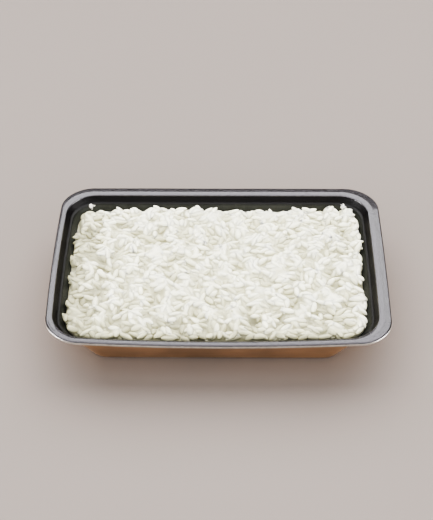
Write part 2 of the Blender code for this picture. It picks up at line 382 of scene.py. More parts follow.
def inner_lacquer(settings):
    """The same lacquer on the food side, where the press stretched it and steam dulled it.

    It is black on the step. Below the step the wall is painted a greenish grey, a painted
    reflection of the rice's light.
    A pale bare-metal spot, ragged at its edge, is put at each back corner as a painted highlight.
    """
    material, tree, shader, place = start_material("black_inner_lacquer")
    height = node(tree, "ShaderNodeSeparateXYZ", {"Vector": place}).outputs["Z"]
    wall_top = TRAY_HIGH.z - settings.flange_fall - settings.step_drop
    fade = 0.0015
    # Below the step the lacquer's black turns to the painted reflection of the rice, in random
    # darker patches
    drawn = mapped(tree, height, wall_top, wall_top - fade)
    wear = noise(tree, place, 0.004)
    deep = dimmed(settings.painted_wall_reflection, 0.75)
    wall_reflection = ramp(tree, wear, [(0.3, deep), (0.7, settings.painted_wall_reflection)])
    base = blended(tree, drawn, tuple(settings.lacquer), wall_reflection)
    # A painted highlight spot's edge is its radius, moved in and out by noise: 4 mm from black to
    # white, so about a millimetre either way of its grey middle
    ragged = noise(tree, place, 0.0012, 2.0)
    raggedness = 0.004
    highlight_rim = settings.highlight_size + raggedness / 2
    left, right, back = settings.highlight_spots
    spots = []
    for across in (TRAY_LOW.x + left, TRAY_HIGH.x - right):
        spot = (across, TRAY_HIGH.y - back, wall_top - settings.highlight_drop)
        away = node(tree, "ShaderNodeVectorMath", {0: place, 1: spot}, operation="DISTANCE")
        spots.append(away.outputs["Value"])
    nearest = worked_out(tree, "MINIMUM", *spots)
    edge = worked_out(tree, "MULTIPLY_ADD", ragged, raggedness, nearest)
    highlight_share = mapped(tree, edge, highlight_rim, highlight_rim - 0.0004)
    set_inputs(
        tree,
        shader,
        {
            "Base Color": blended(tree, highlight_share, base, tuple(settings.bare)),
            "Metallic": highlight_share,
            "Normal": orange_peel(tree, place, 0.8),
            "Roughness": 0.32,
            "IOR": 1.5,
            "Specular IOR Level": 0.2,
        },
    )
    return material


def bare_foil(settings):
    """Bare rolled aluminium foil at the curled edge, where the lacquer ends: pale and satin."""
    material, tree, shader, place = start_material("bare_aluminium_foil")
    tarnish = noise(tree, place, 0.003)
    duller = dimmed(settings.bare, 0.85)
    base = ramp(tree, tarnish, [(0.35, duller), (0.6, settings.bare)])
    normal = orange_peel(tree, place, 0.4)
    set_inputs(
        tree, shader, {"Base Color": base, "Normal": normal, "Metallic": 1.0, "Roughness": 0.32}
    )
    return material


def gold_lacquer(settings):
    """Gold-brown clear lacquer over rolled aluminium foil.

    The metal mirrors softly along its rolling lines, and the tinted coat turns it brown.
    """
    material, tree, shader, place = start_material("gold_lacquered_foil")
    # Rolling lines run along the sheet, about 0.2 mm apart, drawn at 0.6 mm
    stretched = node(tree, "ShaderNodeMapping", {"Vector": place, "Scale": (0.06, 1.0, 1.0)})
    lines = noise(tree, stretched.outputs["Vector"], 0.0006, 2.0)
    cloud = noise(tree, place, 0.03, 2.0)
    deep = dimmed(settings.outside, 0.72)
    set_inputs(
        tree,
        shader,
        {
            "Base Color": ramp(tree, cloud, [(0.35, deep), (0.65, settings.outside)]),
            "Roughness": mapped(tree, lines, 0.3, 0.7, 0.3, 0.45),
            "Normal": bump(tree, lines, 0.2, 0.00008),
            "Metallic": 1.0,
        },
    )
    return material


def boiled_rice(name, settings, tone_name):
    """Boiled medium-grain rice, swollen with water.

    Its starch is nearly white and lets light through for about a millimetre, so creases glow
    warm instead of going grey, and its wet skin has a soft sheen.
    """
    material, tree, shader, place = start_material(name)
    patches = noise(tree, place, 0.009, 2.0)
    tone = node(tree, "ShaderNodeAttribute", attribute_name=tone_name).outputs["Fac"]
    blend = node(tree, "ShaderNodeMix", {0: 0.3, 2: tone, 3: patches})
    # The ramp paints shade: the lowest tones get the painted edge shade, the middle ones the
    # painted shade of hollows and sunken grains, and the highest the grain's own near-white
    stops = [(0.06, settings.edge_shade), (0.26, settings.shade), (0.6, settings.grain)]
    # The skin's starch grains, far finer than 0.4 mm, are drawn at 0.4 mm
    skin = noise(tree, place, 0.0004)
    set_inputs(
        tree,
        shader,
        {
            "Base Color": ramp(tree, blend.outputs[0], stops),
            "Normal": bump(tree, skin, 0.25, 0.0001),
            "Roughness": 0.42,
            "IOR": 1.4,
            "Subsurface Weight": 1.0,
            "Subsurface Radius": (1.0, 1.0, 1.0),
            "Subsurface Scale": 0.0014,
        },
    )
    return material


def pale_floor(settings):
    """Matt painted board: a pale warm grey with the faintest mottle."""
    material, tree, shader, place = start_material("pale_board")
    mottle = noise(tree, place, 0.2, 2.0)
    darker = dimmed(settings.floor, 0.985)
    base = ramp(tree, mottle, [(0.3, darker), (0.7, settings.floor)])
    set_inputs(tree, shader, {"Base Color": base, "Roughness": 0.95, "Specular IOR Level": 0.1})
    return material


def waves(across, along, spacing):
    """A smooth uneven field from -1 to 1: five plane waves of about one length, averaged.

    Each wave runs 2.4 radians round from the one before, is a little longer and starts 1.9
    radians further along.
    """
    total = 0
    for wave in range(5):
        turn = 2.4 * wave + 0.5
        way = across * math.cos(turn) + along * math.sin(turn)
        total = total + np.sin(2 * math.pi * way / (spacing * (0.7 + 0.23 * wave)) + 1.9 * wave)
    return total / 5


def blurred(field, cells):
    """A field without what is finer than about so many cells: a Gaussian's share of each wave."""
    rows = np.fft.fftfreq(field.shape[0])[:, None]
    columns = np.fft.rfftfreq(field.shape[1])[None, :]
    kept = np.exp(-2 * (math.pi * cells) ** 2 * (rows**2 + columns**2))
    return np.fft.irfft2(np.fft.rfft2(field) * kept, field.shape)


def unbowed(across, along, centre, half, bulges):
    """Places moved back by how far the tray's sides bow out there.

    On each side that is bulge * share * (1 - other share squared), where the shares run from
    -1 to 1 over the tray.
    """
    share_x = np.clip((across - centre[0]) / half[0], -1, 1)
    share_y = np.clip((along - centre[1]) / half[1], -1, 1)
    bow_x = np.where(share_x < 0, bulges[0], bulges[1]) * share_x * (1 - share_y**2)
    bow_y = np.where(share_y < 0, bulges[2], bulges[3]) * share_y * (1 - share_x**2)
    return across - bow_x, along - bow_y


def inside_distance(across, along, centre, half, radius):
    """How far inside a rounded rectangle places are, in metres, negative outside it."""
    off = np.abs(np.stack([across, along], -1) - centre) - (half - radius)
    outside = np.linalg.norm(np.maximum(off, 0), axis=-1) + np.minimum(off.max(-1), 0)
    return radius - outside


class RingTemplate:
    """A rounded rectangle's points, as weights that any half size and radius can use.

    A point is weight * (half - radius) + radius * direction in X and in Y. In a corner the
    weights are its signs and the direction turns a quarter. Along a side the weights run from
    one corner's signs to the next and the direction stays.
    """

    def __init__(self, in_corner, on_short, on_long):
        weights, directions = [], []
        signs = ((1, 1), (-1, 1), (-1, -1), (1, -1))
        for quarter, sign in enumerate(signs):
            turn = quarter * math.pi / 2 + np.linspace(0, math.pi / 2, in_corner + 1)
            weights.append(np.tile(sign, (in_corner + 1, 1)))
            directions.append(np.column_stack([np.cos(turn), np.sin(turn)]))
            steps = on_long if quarter % 2 == 0 else on_short
            share = (np.arange(1, steps) / steps)[:, None]
            after = np.array(signs[(quarter + 1) % 4])
            weights.append(np.array(sign) * (1 - share) + after * share)
            directions.append(np.tile(directions[-1][-1], (steps - 1, 1)))
        self.weights = np.vstack(weights)
        self.directions = np.round(np.vstack(directions), 12)


def tray_frame(settings, inset, rim_share):
    """Centre, half size, corner radius and bulges of the rings at arrays of insets."""
    flanges = np.array(settings.rim_widths) - 2 * settings.bead_radius
    down = np.clip((inset - 2 * settings.bead_radius) / settings.wall_run, 0, 1)
    insets = inset[:, None] + rim_share[:, None] * flanges
    insets = insets + down[:, None] * np.array(settings.foot_shifts)
    bulges = np.array(settings.bulges)
    left, right, front, back = (insets + bulges).T
    low = np.column_stack([TRAY_LOW.x + left, TRAY_LOW.y + front])
    high = np.column_stack([TRAY_HIGH.x - right, TRAY_HIGH.y - back])
    radius = (
        settings.bead_corner * (1 - rim_share)
        + settings.flange_corner * rim_share
        - (settings.flange_corner - settings.foot_corner) * down
    )
    return (low + high) / 2, (high - low) / 2, radius, bulges * (1 - down[:, None])


def tray_rings(settings, template, inset, rim_share, height):
    """Rings round the tray as an array of (station, point, xyz).

    Each is a rounded rectangle whose sides bow out by bulge * (1 - share squared), where share
    runs from -1 to 1 along the side. Its corners tighten and its bulges die away downwards.
    Each side's outer edge droops by its own amount, and its middle sags by another.
    """
    centre, half, radius, bulges = tray_frame(settings, inset, rim_share)
    straight = (half - radius[:, None])[:, None, :] * template.weights
    points = straight + radius[:, None, None] * template.directions
    share = points / half[:, None, :]
    bow_x = np.where(points[..., 0] < 0, bulges[:, None, 0], bulges[:, None, 1])
    bow_y = np.where(points[..., 1] < 0, bulges[:, None, 2], bulges[:, None, 3])
    bowed_x = points[..., 0] + bow_x * share[..., 0] * (1 - share[..., 1] ** 2)
    bowed_y = points[..., 1] + bow_y * share[..., 1] * (1 - share[..., 0] ** 2)
    flat = np.stack([bowed_x, bowed_y], axis=-1) + centre[:, None, :]

    facing = np.maximum(template.directions @ [[-1, 1, 0, 0], [0, 0, -1, 1]], 0)
    outer = np.clip(1 - rim_share, 0, 1)[:, None]
    halfway = (1 - np.abs(share).min(-1) ** 2) * (height / TRAY_HIGH.z)[:, None]
    lower = outer * (facing @ settings.droops) + halfway * (facing @ settings.sags)
    return np.concatenate([flat, (height[:, None] - lower)[..., None]], axis=-1)


def wall_inset(settings, height, offset):
    """How far inside the outer edge the wall's outer skin is, moved offset square to it."""
    foot = 2 * settings.bead_radius + settings.wall_run
    draft = settings.wall_draft
    return foot - height * math.tan(draft) + offset / math.cos(draft)


def soften(corners, steps):
    """A path through corners, each rounded by a curve.

    corners holds (inset, rim share, height, reach). The curve leaves the path at reach before
    a corner and joins it at reach after, as (1-t)^2 A + 2t(1-t) B + t^2 C. For the distances a
    whole rim share counts as 3 mm.
    """
    corners = np.array(corners)
    places, reach = corners[:, :3], corners[:, 3]
    sheet = places * (1.0, 0.003, 1.0)
    path = [places[:1]]
    for i in range(1, len(places) - 1):
        before = np.linalg.norm(sheet[i - 1] - sheet[i])
        after = np.linalg.norm(sheet[i + 1] - sheet[i])
        a = places[i] + (places[i - 1] - places[i]) * min(reach[i] / before, 0.49)
        c = places[i] + (places[i + 1] - places[i]) * min(reach[i] / after, 0.49)
        t = np.linspace(0, 1, steps)[:, None]
        path.append((1 - t) ** 2 * a + 2 * t * (1 - t) * places[i] + t**2 * c)
    path.append(places[-1:])
    return np.vstack(path)


def arc(radius, middle_inset, middle_height, start, end, steps):
    """Stations along an arc about the bead's middle, with angles from straight outwards."""
    turn = np.linspace(start, end, steps)
    inset = middle_inset - radius * np.cos(turn)
    return np.column_stack([inset, np.zeros(steps), middle_height + radius * np.sin(turn)])


def foil_section(settings):
    """The foil's cross-section, from the middle of its floor, over the rim and back to its base.

    The rim is arched: it rises from the step to its crown and falls to a curled edge. It
    returns the stations, and at which of them the rim, the bare edge and the outside begin.
    """
    s = settings
    top = TRAY_HIGH.z
    wall = s.wall
    flange = 2 * s.bead_radius
    step_top = top - s.flange_fall
    ledge = step_top - s.step_drop - s.ledge_fall
    curl_middle = top - s.curl_drop

    # How far from a corner its bend begins
    crease = 0.0003
    bend = 0.0004
    arch = 0.0009
    # The share of a side's extra width that lies outside the crown, and how far under the top
    # the rim turns down to the step
    crown_share = 0.97
    turn_down = 0.52 * s.flange_fall

    floor_corner = wall_inset(s, wall, wall)
    tangent = math.radians(76)
    food_side = [
        (floor_corner + FLAT_RING, 1, wall, 0),
        (floor_corner, 1, wall, s.foot_fillet - wall),
        (wall_inset(s, ledge - s.ledge_fall, wall), 1, ledge - s.ledge_fall, crease),
        (flange + s.step_run, 1, ledge + 2 * s.ledge_fall, crease),
        (flange, 1, step_top, bend),
        (0.95 * flange, 1, top - turn_down, bend),
        (s.crown, crown_share, top, arch),
        (s.curl * (1 - math.cos(tangent)), 0, curl_middle + s.curl * math.sin(tangent), 0),
    ]
    upper = soften(food_side, 7)[:-1]
    rim_start = int(np.argmax(upper[:, 2] > step_top))

    # Round the curl the lacquer ends at 32 degrees over the level, the foil is bare down to
    # its lowest point, and its tip tucks in under the rim and stops at -196 degrees
    inner = s.curl - s.curl_wall
    curl = (s.curl, curl_middle)
    lacquered = arc(s.curl, *curl, tangent, math.radians(32), 8)
    bare = arc(s.curl, *curl, math.radians(25), math.radians(-90), 11)
    tucked = arc(s.curl, *curl, math.radians(-100), math.radians(-190), 8)
    tip = arc(s.curl - s.curl_wall / 2, *curl, math.radians(-196), math.radians(-196), 1)
    inside = arc(inner, *curl, math.radians(-190), math.radians(70), 16)

    collar = ledge - wall
    under_side = [
        (s.curl + 0.0002, 0, curl_middle + inner, 0),
        (s.crown + s.curl_wall, crown_share, top - s.curl_wall, arch),
        (0.93 * flange, 1, top - turn_down - s.curl_wall, bend),
        (flange - wall / 2, 1, step_top - wall, bend),
        (wall_inset(s, collar, 0), 1, collar, 0.0005),
        (wall_inset(s, 0, 0), 1, 0, s.foot_fillet),
        (wall_inset(s, 0, 0) + FLAT_RING, 1, 0, 0),
    ]
    lower = soften(under_side, 7)
    bare_start = len(upper) + len(lacquered)
    stations = np.vstack([upper, lacquered, bare, tucked, tip, inside, lower])
    return stations, (rim_start, bare_start, bare_start + len(bare))


def lofted_faces(stations, around):
    """Quads between neighbouring rings, whose points are numbered ring after ring."""
    ring = np.arange(around)
    after = (ring + 1) % around
    first = (np.arange(stations - 1) * around)[:, None]
    corners = (ring, after, around + after, around + ring)
    return np.stack([first + corner for corner in corners], -1).reshape(-1, 4)


def end_fans(rings, around, hub):
    """Triangles that close a lofted surface: its first ring to point hub, its last to hub + 1."""
    ring = np.arange(around)
    after = (ring + 1) % around
    last = (rings - 1) * around
    first_fan = np.column_stack([after, ring, np.full(around, hub)])
    last_fan = np.column_stack([last + ring, last + after, np.full(around, hub + 1)])
    return np.vstack([first_fan, last_fan])


def build_mesh(name, points, quads, triangles, materials, face_materials=None):
    """A smooth-shaded mesh object at the origin from whole arrays of points and faces."""
    data = bpy.data.meshes.new(name)
    data.vertices.add(len(points))
    data.vertices.foreach_set("co", points.astype(np.float32).ravel())
    loops = np.concatenate([quads.ravel(), triangles.ravel()]).astype(np.int32)
    sizes = np.concatenate([np.full(len(quads), 4), np.full(len(triangles), 3)]).astype(np.int32)
    data.loops.add(len(loops))
    data.loops.foreach_set("vertex_index", loops)
    data.polygons.add(len(sizes))
    data.polygons.foreach_set("loop_start", (np.cumsum(sizes) - sizes).astype(np.int32))
    data.polygons.foreach_set("loop_total", sizes)
    for material in materials:
        data.materials.append(material)
    if face_materials is not None:
        data.polygons.foreach_set("material_index", face_materials.astype(np.int32))
    data.update(calc_edges=True)
    if data.validate():
        raise RuntimeError(f"{name} came out as a mesh with faults")
    data.shade_smooth()
    made = bpy.data.objects.new(name, data)
    bpy.context.scene.collection.objects.link(made)
    return made


def make_foil(settings):
    """The tray as one lofted sheet with shallow dents.

    The section's stations are carried round the ring, and each point then moves down by a
    field of long waves that dies away at the base.
    """
    template = RingTemplate(in_corner=48, on_short=60, on_long=84)
    stations, starts = foil_section(settings)
    rings = tray_rings(settings, template, *stations.T)
    around = rings.shape[1]
    drift = waves(rings[..., 0] + 0.4 * rings[..., 2], rings[..., 1], settings.dent_length)
    steady = 0.004
    near_base = np.clip(stations[:, 2] / steady, 0, 1)
    rings[..., 2] -= settings.dent * (1 + drift) / 2 * near_base[:, None]

    quads = lofted_faces(len(stations), around)
    centres = np.array([rings[0].mean(0), rings[-1].mean(0)])
    points = np.vstack([rings.reshape(-1, 3), centres])
    finish = np.searchsorted(starts, np.arange(len(stations) - 1), side="right")
    return build_mesh(
        "tray_shell",
        points,
        quads,
        end_fans(len(stations), around, len(points) - 2),
        [
            inner_lacquer(settings),
            rim_lacquer(settings),
            bare_foil(settings),
            gold_lacquer(settings),
        ],
        np.concatenate([np.repeat(finish, around), np.zeros(around), np.full(around, 3)]),
    )


class HeapGrid:
    """A height map over the tray, on which grains are laid one by one.

    Its fields are worked out for each cell: margin is how far inside the heap's outline it is,
    ceiling how high grains may reach, bed how high the grains under the layer may, sunk how far
    grains press in, and edge_shade how much painted shade darkens them near the heap's edges.
    """

    # A cell's side, how many cells a grain can cover to each side of its middle, and how far
    # the grid goes out past the rice
    step = 0.0004
    window = 13
    border = 0.006
    # Where tips may stand, as how far inside the heap's outline
    tip_margins = (-0.0018, -0.0002)
    # Places compared before a grain is laid, for a tip too, and the misses that end a layer
    places = 24
    tip_places = 2
    most_misses = 1200
    # Least and most of a grain's usual length, width and thickness
    length_range = (0.7, 1.12)
    width_range = (0.82, 1.12)
    thickness_range = (0.85, 1.1)
    # Share of grains with an end pressed in, and the most that this tilts them
    pressed_share = 0.45
    pressed_slope = 0.65
    # The steepest slope that a grain takes from what is under it, along it and across it
    steepest = (0.4, 0.5)
    # Share of its underside that a grain comes to rest on, and what being pressed in takes off
    rest_share = 0.72
    pressed_rest = 0.3
    # How far a grain may stand over the ceiling, and what being pressed in adds
    over = 0.0011
    pressed_over = 0.0015
    # A tip's turn from straight outwards, its tilt, its slimness and the cells to the next one
    tip_turn = 0.6
    tip_tilts = (-0.25, 0.3)
    tip_slimness = 0.85
    tip_gap = 4

    def __init__(self, tray, rice):
        self.x = np.arange(RICE_LOW.x - self.border, RICE_HIGH.x + self.border, self.step)
        self.y = np.arange(RICE_LOW.y - self.border, RICE_HIGH.y + self.border, self.step)
        across, along = np.meshgrid(self.x, self.y, indexing="ij")
        inset = np.array([wall_inset(tray, rice.wall_top, tray.wall + rice.clearance)])
        centre, half, radius, bulges = tray_frame(tray, inset, np.ones(1))
        across, along = unbowed(across, along, centre[0], half[0], bulges[0])
        self.inside = inside_distance(across, along, centre[0], half[0], radius[0])
        self.wall_top, self.spread = rice.wall_top, math.tan(tray.wall_draft)

        left, right, front, back = rice.reaches
        low = centre[0] - half[0] - (left, front)
        high = centre[0] + half[0] + (right, back)
        corner = radius[0] - rice.shoulder
        margin = inside_distance(across, along, (low + high) / 2, (high - low) / 2, corner)
        lobes = (1 + waves(across, along, rice.scallop_length)) / 2
        # The front edge is pressed against the foil, so its lobes are shallow
        lobes = lobes * np.clip((along - low[1]) / rice.scallop_length, 0.2, 1)
        corner_width = 1.5 * rice.scallop_length
        from_corner = np.hypot(across - low[0], along - high[1]) / corner_width
        margin = margin - rice.scallop * lobes - rice.corner_gap * np.exp(-(from_corner**2))
        share = np.clip(margin / rice.shoulder, 0, 1)
        rise = (rice.top - rice.wall_top) * np.sqrt(1 - (1 - share) ** 2)
        lumps = rice.lump * waves(across, along, rice.lump_length)
        lumps = lumps + rice.hollow * waves(along, across, rice.hollow_length)
        self.ceiling = rice.wall_top + rise + lumps * share
        self.bed = self.ceiling - rice.skin * (1 + 0.6 * waves(along, across, rice.grain_length))
        self.height = self.ceiling - 2 * rice.skin
        sticky = waves(across, -along, rice.lump_length)
        self.sunk = rice.sunk + rice.merged * sticky
        self.crevice = rice.crevice * (1 - 1.3 * sticky)
        slope_x, slope_y = np.gradient(margin)
        self.outwards = np.arctan2(-slope_y, -slope_x)
        in_tray = self.inside > -1.2 * rice.shoulder
        at_edge = (margin > self.tip_margins[0]) & (margin < self.tip_margins[1])
        self.open_cells = np.argwhere(in_tray & (margin > 0))
        self.edge_cells = np.argwhere(in_tray & at_edge)
        # Painted shade: grains are painted darker near each edge, less so further in
        edge_shade = []
        for axis, place in enumerate((across, along)):
            for side in (-1, 1):
                depth = half[0][axis] - side * (place - centre[0][axis])
                most = rice.edge_shades[2 * axis + (side + 1) // 2]
                edge_shade.append(most * np.exp(-np.maximum(depth, 0) / rice.edge_shade_width))
        self.edge_shade = np.max(edge_shade, axis=0)

    def sample(self, field, points):
        """A field's values at points, blended from the four cells around each."""
        u = np.clip((points[:, 0] - self.x[0]) / self.step, 0, len(self.x) - 1.001)
        v = np.clip((points[:, 1] - self.y[0]) / self.step, 0, len(self.y) - 1.001)
        i, j = u.astype(int), v.astype(int)
        u, v = u - i, v - j
        near = field[i, j] * (1 - u) + field[i + 1, j] * u
        far = field[i, j + 1] * (1 - u) + field[i + 1, j + 1] * u
        return near * (1 - v) + far * v

    def lay(self, random, rice, most, ceiling, tips=False):
        """Lays grains on the heap up to a ceiling, and returns them as rows of an array.

        Each goes where the heap is lowest of a few places, turned at random. It takes the
        slope of what lies under it, some with one end pressed in, and comes down until that
        carries most of its underside. It stays clear of the foil's leaning wall. Tips go on
        the heap's edge instead: only their inner half is carried, and the rest sticks out.
        A cell where a grain didn't fit is less likely to be tried again, and so are those round
        a tip. A row is x, y, z, turn, slope along, slope across, length, width and thickness.
        """
        laid = []
        misses = 0
        ruled_out = np.zeros_like(ceiling)
        cells = self.edge_cells if tips else self.open_cells
        places = self.tip_places if tips else self.places
        while len(laid) < most and misses < self.most_misses:
            picks = cells[random.integers(0, len(cells), places)].T
            room = ceiling[*picks] - self.height[*picks] - ruled_out[*picks]
            i, j = picks[:, room.argmax()]
            if tips:
                turn = self.outwards[i, j] + random.normal(0, self.tip_turn)
            else:
                turn = random.uniform(0, math.pi)
            long = rice.grain_length * random.uniform(*self.length_range)
            wide = rice.grain_width * random.uniform(*self.width_range)
            wide = wide * (self.tip_slimness if tips else 1)
            thick = rice.grain_thickness * random.uniform(*self.thickness_range)
            pressed = random.random() < self.pressed_share and not tips
            rear = random.uniform(-self.pressed_slope, self.pressed_slope) if pressed else 0
            low_i, high_i = max(i - self.window, 0), min(i + self.window + 1, len(self.x))
            low_j, high_j = max(j - self.window, 0), min(j + self.window + 1, len(self.y))
            patch = (slice(low_i, high_i), slice(low_j, high_j))
            du = (np.arange(low_i, high_i) - i)[:, None] * self.step
            dv = (np.arange(low_j, high_j) - j)[None, :] * self.step
            along = du * math.cos(turn) + dv * math.sin(turn)
            across = -du * math.sin(turn) + dv * math.cos(turn)
            reach = (2 * along / long) ** 2 + (2 * across / wide) ** 2
            under = reach < 0.95
            a, b, ground = along[under], across[under], self.height[patch][under]
            carried = a < 0 if tips else np.ones(len(a), bool)
            if tips:
                tilt = random.uniform(*self.tip_tilts)
            else:
                slope = (a * (ground - ground.mean())).sum() / (a**2).sum()
                tilt = np.clip(slope, -self.steepest[0], self.steepest[0]) + rear
            slope = (b * (ground - ground.mean())).sum() / (b**2).sum()
            lean = np.clip(slope, -self.steepest[1], self.steepest[1])
            plane = tilt * a + lean * b
            belly = thick / 2 * np.sqrt(1 - reach[under])
            rests = (ground - plane + belly)[carried]
            carrying = self.rest_share - self.pressed_rest * abs(rear)
            middle = np.quantile(rests, carrying) - self.sunk[i, j] * thick
            crown = middle + plane + belly
            clear = self.inside[patch][under] + self.spread * (middle + plane - self.wall_top)
            spare = (ceiling[patch][under] - crown)[carried]
            if clear.min() < 0 or spare.min() < -self.over - self.pressed_over * abs(rear):
                misses += 1
                ruled_out[i - 1 : i + 2, j - 1 : j + 2] += rice.skin / 4
                continue
            misses = 0
            if tips:
                gap = self.tip_gap
                ruled_out[i - gap : i + gap + 1, j - gap : j + gap + 1] += rice.skin
            self.height[patch][under] = np.maximum(ground, crown)
            laid.append((self.x[i], self.y[j], middle, turn, tilt, lean, long, wide, thick))
        return np.array(laid)


def tones_at(rice, proud, edge_shade, spread):
    """Tones from 0 to 1 that paint shade: white where the rice stands proud, darker and yellower
    where sunk, as painted shade in the hollows, and darker near the edge, as painted edge shade.

    Before the edge shade and the spread at random are added, rice has 0.5 where it is level with
    the heap, plus 0.8 for each skin's depth that it stands proud, and 0.2 at the least.
    """
    hollow_shade_tone = np.clip(0.5 + 0.8 * proud / rice.skin, 0.2, 1)
    return np.clip(hollow_shade_tone - edge_shade + spread, 0, 1)


def write_tones(made, name, tones):
    """Puts a tone for each point into a mesh, where the rice's material reads it."""
    attribute = made.data.attributes.new(name, "FLOAT", "POINT")
    attribute.data.foreach_set("value", tones.astype(np.float32))


def make_core(tray, rice, grid):
    """The body of rice, from the foil's floor to the starch that joins the grains on top.

    Its side follows the foil's wall. Its top is the same outline shrunk in steps to the middle.
    Its height is the heap's, smoothed over a grain's width and lowered: a little where the
    grains stick together, and more where they lie loose.
    """
    template = RingTemplate(in_corner=28, on_short=104, on_long=160)
    smoothing = 0.0009
    starch = blurred(grid.height, smoothing / grid.step) - grid.crevice
    clear = tray.wall + rice.clearance
    edge_height = rice.wall_top - 0.5 * rice.skin
    floor_corner = wall_inset(tray, clear, clear)
    corners = [
        (floor_corner + FLAT_RING / 2, 1, clear, 0),
        (floor_corner, 1, clear, tray.foot_fillet),
        (wall_inset(tray, edge_height, clear), 1, edge_height, 0),
    ]
    stations = soften(corners, 5)
    side = tray_rings(tray, template, *stations.T)
    around = side.shape[1]
    # The top's rings lie a little closer together at the edge, and the first three rise from
    # the side's height to the starch's
    steps = np.arange(1, 106)
    shrink = (1 - (steps / 106) ** 1.1)[:, None, None]
    middle = side[-1].mean(0)
    top = middle + (side[-1] - middle) * shrink
    heights = grid.sample(starch, top.reshape(-1, 3)).reshape(top.shape[:2])
    settle = np.clip(steps / 3, 0, 1)[:, None]
    lowest = edge_height - 0.002
    top[..., 2] = edge_height * (1 - settle) + np.maximum(heights, lowest) * settle
    rings = np.concatenate([side, top])
    peak = top[-1].mean(0)
    points = np.vstack([rings.reshape(-1, 3), side[0].mean(0), peak])
    made = build_mesh(
        "rice_core",
        points,
        lofted_faces(len(rings), around),
        end_fans(len(rings), around, len(points) - 2),
        [boiled_rice("boiled_rice_core", rice, "core_tone")],
    )
    # The core's tone paints shade: starch lower than the heap around it is painted darker and
    # yellower, and so is starch near the heap's edge
    deep = grid.sample(starch - blurred(grid.height, rice.hollow_length / 2 / grid.step), points)
    write_tones(made, "core_tone", tones_at(rice, deep, grid.sample(grid.edge_shade, points), 0.0))
    return made


def grain_shapes(random, laid):
    """Points of every grain as an array of (grain, point, xyz), ring after ring, then its tips.

    Along the grain, u runs from -1 to 1 and the radius is (1 - |u|^2.2)^0.7, which gives softly
    pointed ends. Across, the section is an ellipse of its width and thickness. The middle line
    bends sideways by bend * (1 - u^2) and the ends drop by sag * u^2, by up to a tenth or so,
    and one end is up to a fifth thinner.
    """
    grains = len(laid)
    x, y, z, turn, tilt, lean, long, wide, thick = laid.T
    u = np.sin(np.linspace(-1, 1, GRAIN_RINGS + 2)[1:-1] * math.pi / 2)
    v = np.arange(GRAIN_SIDES) * 2 * math.pi / GRAIN_SIDES
    radius = (1 - np.abs(u) ** 2.2) ** 0.7
    taper = 1 - random.uniform(0, 0.2, grains)[:, None] * (1 + u) / 2
    girth = (radius * taper)[:, :, None]
    bend = random.uniform(-0.09, 0.09, grains)[:, None, None]
    sag = random.uniform(-0.05, 0.12, grains)[:, None, None]
    lift = (1 - u**2)[None, :, None]
    length_u = (long / 2)[:, None, None]
    drop = sag * thick[:, None, None]
    local_x = np.broadcast_to(length_u * u[None, :, None], (grains, len(u), len(v)))
    local_y = (wide / 2)[:, None, None] * girth * np.cos(v) + bend * length_u * lift
    local_z = (thick / 2)[:, None, None] * girth * np.sin(v) - drop * (1 - lift)
    body = np.stack([local_x, local_y, local_z], -1).reshape(grains, -1, 3)
    ends = np.zeros((grains, 2, 3))
    ends[:, 0, 0] = -long / 2
    ends[:, 1, 0] = long / 2
    ends[:, :, 2] = -drop[:, :, 0]
    local = np.concatenate([body, ends], axis=1)

    along = np.column_stack([np.cos(turn), np.sin(turn), tilt])
    along /= np.linalg.norm(along, axis=1)[:, None]
    across = np.column_stack([-np.sin(turn), np.cos(turn), lean])
    up = np.cross(along, across)
    up /= np.linalg.norm(up, axis=1)[:, None]
    across = np.cross(up, along)
    axes = np.stack([along, across, up], axis=1)
    return np.einsum("gpk,gkc->gpc", local, axes) + np.column_stack([x, y, z])[:, None, :]


def make_grains(random, rice, laid, grid):
    """All the whole grains as one joined mesh.

    Each has a tone of its own, which paints shade: the further it stands above the heap around
    it, the whiter it is, and a sunken one is painted darker and yellower, as painted shade in
    the hollows. Near the heap's edge painted edge shade darkens it too, and a random spread
    varies it.
    """
    points = grain_shapes(random, laid)
    number_laid, per_grain = points.shape[:2]
    quads = lofted_faces(GRAIN_RINGS, GRAIN_SIDES)
    tips = end_fans(GRAIN_RINGS, GRAIN_SIDES, GRAIN_RINGS * GRAIN_SIDES)
    shift = (np.arange(number_laid) * per_grain)[:, None, None]
    made = build_mesh(
        "rice_grains",
        points.reshape(-1, 3),
        (quads[None] + shift).reshape(-1, 4),
        (tips[None] + shift).reshape(-1, 3),
        [boiled_rice("boiled_rice_grain", rice, "grain_tone")],
    )
    around = blurred(grid.height, rice.hollow_length / 2 / grid.step)
    usual = 0.0003
    proud = laid[:, 2] + laid[:, 8] / 2 - grid.sample(around, laid[:, :2]) - usual
    edge_shade = grid.sample(grid.edge_shade, laid[:, :2])
    tones = tones_at(rice, proud, edge_shade, random.uniform(-0.12, 0.12, number_laid))
    write_tones(made, "grain_tone", np.repeat(tones, per_grain))
    return made


class RICETRAY_OT_foil(bpy.types.Operator):
    """Make the lacquered foil tray"""

    bl_idname = "ricetray.foil"
    bl_label = "Foil Tray"

    def execute(self, context):
        shell = make_foil(context.scene.foil_tray)
        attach(shell, "root")
        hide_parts("tray")
        return {"FINISHED"}


